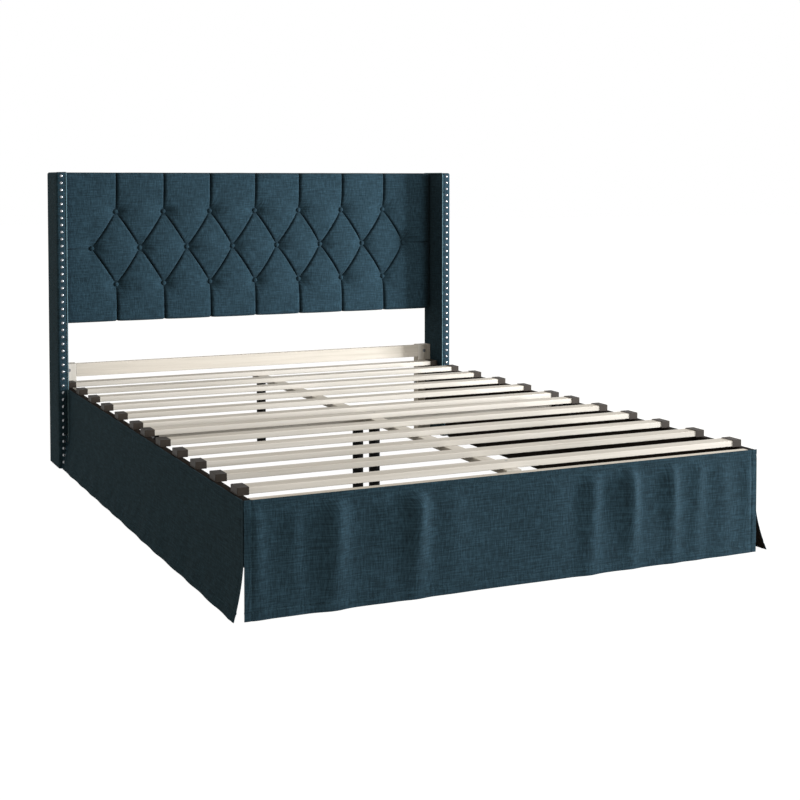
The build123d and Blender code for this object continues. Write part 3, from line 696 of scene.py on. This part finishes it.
for side in ("left", "right"):
    low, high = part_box(f"wing_cover_{side}")
    welt(f"wing_welt_{side}", wing_line(low, high, high[0] if side == "left" else low[0]))
    sleeve = padded_block(f"wing_upholstery_{side}", low, high, 7 * MM, 0.8 * MM, (2, 0),
                          (40 * MM, 22 * MM, 30 * MM))
    stands_for(sleeve, "teal_cloth", f"wing_cover_{side}")
    for half in ("head", "foot"):
        node = f"rail_cover_{half}_half_{side}"
        fold = padded_block(f"rail_cloth_{half}_{side}", *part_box(node), 2.2 * MM, 0.0, (2, 0),
                            (30 * MM, 60 * MM, 40 * MM))
        dress(fold, black_lining)
        stands_for(fold, "lining_cloth", node)

facing = padded_block("foot_rail_cloth", *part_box("foot_rail_facing"), 0.6 * MM, 0.0, (1, 1),
                      (60 * MM, 10 * MM, 40 * MM))
# The facing wears the black lining instead of the teal cloth: painted shade for the dark line between the
# rail's bare top and the skirt's top edge.
dress(facing, black_lining)
stands_for(facing, "teal_cloth", "foot_rail_facing")


# Sheets.
def cloth_sheet(name, columns, rows, place, thickness, levels=1):
    """Sheet of cloth over a grid, with its thickness behind it."""
    piece = grid_piece(name, columns, rows, place)
    if levels:
        smooth = piece.modifiers.new("smooth", "SUBSURF")
        smooth.levels = smooth.render_levels = levels
        smooth.boundary_smooth = "PRESERVE_CORNERS"
    thick = piece.modifiers.new("thick", "SOLIDIFY")
    thick.thickness = thickness
    thick.offset = 0
    finish_modifiers(piece)
    outward(piece)
    settle(piece, 60)
    return piece


lining_low, lining_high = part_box("headboard_back_cloth")
lining_width, lining_height = lining_high[0] - lining_low[0], lining_high[2] - lining_low[2]


def lining_place(u, v):
    """Place of the back lining's cloth, which the staples along its edges pull into small waves."""
    edge = min(u, v, lining_width - u, lining_height - v)
    pulled, staple_gap = 40 * MM, 26 * MM
    wave = 0.0
    if edge < pulled:
        wave = 0.25 * MM * math.sin((u + v) / staple_gap * math.pi) * (1 - edge / pulled)
    return Vector((lining_low[0] + u, lining_high[1] - 1.05 * MM + wave, lining_low[2] + v))


lining = cloth_sheet("headboard_back_lining", marks(lining_width, 13 * MM), marks(lining_height, 13 * MM),
                     lining_place, 0.8 * MM, levels=0)
dress(lining, black_lining)
stands_for(lining, "lining_cloth", "headboard_back_cloth")

# Skirt panels are measured from the floor up; a drop is measured down from the rails' top.
rail_top = 297 * MM
foot_low, foot_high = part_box("skirt_foot")
foot_width = foot_high[0] - foot_low[0]
foot_face = foot_high[1] - 4 * MM
hem = 22 * MM
side_hem = 18 * MM
top_hem = 17 * MM
# Folds of the foot skirt: x of the ridge, half width and height, in millimetres.
ridges = ((-748, 14, 8.0), (-645, 20, 8.0), (-532, 25, 24.0), (-405, 22, 5.0), (-308, 24, 28.0),
          (-205, 30, 6.0), (100, 50, 7.0), (222, 21, 15.0), (343, 20, 23.0), (481, 17, 14.0),
          (578, 17, 7.0), (655, 24, 5.0), (748, 12, 4.0))


def foot_fold(x, drop):
    """How far the foot skirt's cloth stands out at a place; folds start under the top seam."""
    share = smooth_step((drop - 4 * MM) / (55 * MM))
    down = drop / rail_top
    total = 0.0
    for index, (centre, width, height) in enumerate(ridges):
        # Toward the hem a fold wanders, widens and loses height; its left flank is the gentler one.
        ridge = centre + 14 * math.sin(index * 2.3 + 0.8) * down
        wide = width * (1 + 0.35 * down) * (1.35 if x / MM < ridge else 1)
        slump = 1 - (0.62 + 0.2 * math.sin(index * 1.7)) * smooth_step((down - 0.3) / 0.7)
        total += height * slump * bell(x / MM, ridge, wide)
    total += 0.5 * math.sin(x / MM / 37 + 1.1) + 0.5 * math.sin(x / MM / 61 + drop / MM / 90)
    # The cloth can't sink into the rail behind it, so the hollows are levelled out softly.
    half = (total + 2) / 2
    return (math.hypot(half, 1) + half - 2.6) * MM * share


def hem_rise(u, drop, width):
    """Cloth turned twice at the edges stands a little prouder."""
    inside = min(u, width - u)
    past_seams = (inside - side_hem, rail_top - hem - drop, drop - top_hem)
    proud = max(1 - smooth_step(past / (2 * MM)) for past in past_seams)
    sunk = max(bell(past, 0, 2 * MM) for past in past_seams)
    return (1.0 * proud - 1.8 * sunk) * MM


def foot_place(u, v):
    """Place of the foot skirt's cloth; its top edge stands just above the rail's bare edge."""
    x = foot_low[0] + u
    drop = rail_top - v
    stand = foot_fold(x, drop) + hem_rise(u, drop, foot_width)
    return Vector((x, foot_face - stand, v * (1 + 2 * MM / rail_top)))



def seam_lines(*seams):
    """Grid lines on both sides of each seam."""
    return [seam + step * MM for seam in seams for step in (-4, -1.8, 0, 1.8, 4)]


edge_lines = seam_lines(side_hem, foot_width - side_hem)
drop_lines = seam_lines(hem, rail_top - top_hem)
foot_cloth = cloth_sheet("skirt_cloth_foot", marks(foot_width, 9 * MM, *edge_lines),
                         marks(rail_top, 12 * MM, *drop_lines), foot_place, 1.6 * MM)
dress(foot_cloth, teal_linen)
stands_for(foot_cloth, "teal_cloth", "skirt_foot")



def stitch_rows(name, place, outward_way, rows):
    """Short thread stitches along rows; each row has a start and an end on the cloth."""
    net = bmesh.new()
    # Stitches 3.5 mm long are drawn 5 mm long, and the thread 1.1 mm thick.
    length, step, radius = 5 * MM, 8 * MM, 0.55 * MM
    lift = outward_way * 0.9 * MM
    # Rings of a stitch: place along it, share of the radius, and rise in millimetres.
    rings = ((-0.5, 0.35, -0.5), (-0.28, 1, 0), (0.28, 1, 0), (0.5, 0.35, -0.5))
    turns = [(math.cos(k * math.pi / 3), math.sin(k * math.pi / 3)) for k in range(6)]
    for (u0, v0), (u1, v1) in rows:
        count = int(math.hypot(u1 - u0, v1 - v0) / step)
        for i in range(count):
            t = (i + 0.5) / count
            spot, ahead = [place(u0 + (u1 - u0) * at, v0 + (v1 - v0) * at) for at in (t, t + 0.001)]
            way = (ahead - spot).normalized()
            side = way.cross(outward_way).normalized()
            ends = []
            for at, shrink, rise in rings:
                centre = spot + way * length * at + lift + outward_way * rise * MM
                ends.append([net.verts.new(centre + (side * c + outward_way * s) * radius * shrink)
                             for c, s in turns])
            for first, second in zip(ends, ends[1:]):
                for k in range(6):
                    net.faces.new((first[k], first[(k + 1) % 6], second[(k + 1) % 6], second[k]))
            net.faces.new(ends[0])
            net.faces.new(ends[-1])
    mesh = bpy.data.meshes.new(name)
    net.to_mesh(mesh)
    net.free()
    piece = bpy.data.objects.new(name, mesh)
    bpy.context.scene.collection.objects.link(piece)
    outward(piece)
    settle(piece, 60)
    dress(piece, thread)
    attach(piece, "root")
    return piece


def hem_rows(width):
    """Seams of a skirt panel: both side hems, the bottom hem and the line under the top edge."""
    inner = width - side_hem
    upright = [((u, 4 * MM), (u, rail_top - 4 * MM)) for u in (side_hem, inner)]
    level = [((side_hem, v), (inner, v)) for v in (hem, rail_top - top_hem)]
    return upright + level


foot_stitches = stitch_rows("skirt_stitches_foot", foot_place, Vector((0, -1, 0)), hem_rows(foot_width))

side_low, side_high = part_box("skirt_side_right")
side_length = side_high[1] - side_low[1]
side_face = foot_high[0] - 1 * MM
# Widths of the waves in the side skirts' hems, one after another, as shares.
waves = (5, 8, 6, 9, 5, 7, 9, 6, 8, 5, 7, 6, 9, 8, 5, 7, 6, 8, 7, 5, 8, 6, 7, 9)


def side_wave(u):
    """Swing of the side skirt's hem in and out of its line, from -1 to 1."""
    start = 0.0
    for index, share in enumerate(waves):
        width = side_length * share / sum(waves)
        if u <= start + width + 1e-9:
            swing = (1 if index % 2 == 0 else -1) * (0.6 + 0.4 * math.sin(index * 2.6))
            return swing * math.sin(math.pi * (u - start) / width)
        start += width
    return 0.0


def side_place(sign):
    """Place of the side skirt's cloth; it hangs straight and then kicks out to its hem."""
    def place(u, v):
        drop = rail_top - v
        straight = 140 * MM
        share = max(0.0, (drop - straight) / (rail_top - straight)) ** 1.7
        # The right-hand panel kicks out further at its foot end.
        kick = (26 + (18 if sign > 0 else 0) * math.exp(-u / (130 * MM))) * MM * share
        wave = 2.1 * MM * side_wave(u) * smooth_step((drop - 150 * MM) / (150 * MM))
        soft = 0.4 * MM * math.sin(u / MM / 97) * smooth_step(drop / (60 * MM))
        stand = kick + wave + soft + hem_rise(u, drop, side_length)
        return Vector((sign * (side_face + stand), side_low[1] + u, v))
    return place


edge_lines = seam_lines(side_hem, side_length - side_hem)
for side, sign in (("left", -1), ("right", 1)):
    panel = cloth_sheet(f"skirt_cloth_{side}", marks(side_length, 10 * MM, *edge_lines),
                        marks(rail_top, 12 * MM, *drop_lines), side_place(sign), 1.6 * MM)
    dress(panel, teal_linen)
    panel.data.materials.append(black_lining)
    # Faces that look toward the bed get the black lining: painted shade for the dark inside of the bed under
    # the slats.
    for face in panel.data.polygons:
        if face.normal.x * sign < -0.4:
            face.material_index = 1
    stands_for(panel, "teal_cloth", f"skirt_side_{side}")
    stitches = stitch_rows(f"skirt_stitches_{side}", side_place(sign), Vector((sign, 0, 0)),
                           hem_rows(side_length))


# Floor, camera and lights.
def bright_rays(tree):
    """1 for rays from the camera, from gloss and through clear materials, 0 for all others."""
    ray = add(tree, "ShaderNodeLightPath").outputs
    seen = ray["Is Camera Ray"]
    for kind in ("Is Glossy Ray", "Is Transmission Ray"):
        seen = add(tree, "ShaderNodeMath", {0: seen, 1: ray[kind]}, operation="MAXIMUM").outputs[0]
    return seen


def backdrop():
    """Pale floor without a horizon, which keeps a faint shadow."""
    clear_selection()
    bpy.ops.mesh.primitive_plane_add(size=60, location=(0, 0, -0.5 * MM))
    floor = bpy.context.object
    floor.name = "floor"
    material = bpy.data.materials.new("pale_floor")
    material.use_nodes = True
    tree = material.node_tree
    tree.nodes.remove(tree.nodes["Principled BSDF"])
    out = tree.nodes["Material Output"]
    share = add(tree, "ShaderNodeMath", {0: bright_rays(tree), 1: 0.8}, operation="MULTIPLY")
    matt = add(tree, "ShaderNodeBsdfDiffuse", {"Color": colour("#a8a49b")})
    glow = add(tree, "ShaderNodeEmission", {"Color": (1, 1, 1, 1), "Strength": 1.23})
    mixed = add(tree, "ShaderNodeMixShader", {0: share.outputs[0], 1: matt.outputs[0], 2: glow.outputs[0]})
    tree.links.new(mixed.outputs[0], out.inputs["Surface"])
    dress(floor, material)
    floor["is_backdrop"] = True


def soft_box(name, spot, aim, size, power):
    """Rectangular studio lamp that faces a point."""
    lamp = bpy.data.lights.new(name, "AREA")
    lamp.shape = "RECTANGLE"
    lamp.size, lamp.size_y = size
    lamp.energy = power
    piece = bpy.data.objects.new(name, lamp)
    piece.location = spot
    piece.rotation_mode = "QUATERNION"
    piece.rotation_quaternion = (Vector(aim) - Vector(spot)).to_track_quat("-Z", "Y")
    bpy.context.scene.collection.objects.link(piece)


def studio():
    """White surround for the camera, soft even light for the bed, and lamps from the right."""
    world = bpy.data.worlds.new("studio")
    bpy.context.scene.world = world
    world.use_nodes = True
    tree = world.node_tree
    shine = tree.nodes["Background"]
    seen = bright_rays(tree)
    level = add(tree, "ShaderNodeMapRange", {"Value": seen, "To Min": 0.6, "To Max": 1.0})
    tone = ramp(tree, seen, [(0.0, colour("#fff3e2")), (1.0, colour("#ffffff"))])
    tree.links.new(tone, shine.inputs["Color"])
    tree.links.new(level.outputs[0], shine.inputs["Strength"])
    soft_box("key", (3.6, -0.8, 0.9), (-0.1, 1.0, 0.75), (0.8, 0.9), 165)
    soft_box("top", (0.6, -0.8, 4.0), (0.0, 0.0, 0.3), (2.6, 2.6), 12)
    soft_box("rake", (4.0, -2.0, 0.6), (0.1, -1.1, 0.15), (0.5, 0.8), 235)
    soft_box("front", (3.0, -5.6, 1.4), (0.0, 0.0, 0.3), (2.0, 1.6), 220)


def camera():
    """Camera at the photograph's place, a little under eye height, looking to the right."""
    lens = bpy.data.cameras.new("camera")
    lens.sensor_width = 36
    lens.lens = 63.494
    lens.shift_y = -0.20
    lens.clip_start = 0.05
    piece = bpy.data.objects.new("camera", lens)
    piece.location = (-1.8672, -4.3392, 1.0764)
    piece.rotation_euler = (math.radians(90 - 2.428), 0, -math.radians(24.968))
    bpy.context.scene.collection.objects.link(piece)
    bpy.context.scene.camera = piece


backdrop()
studio()
camera()
bpy.context.scene.view_settings.view_transform = "Standard"

low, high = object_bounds()
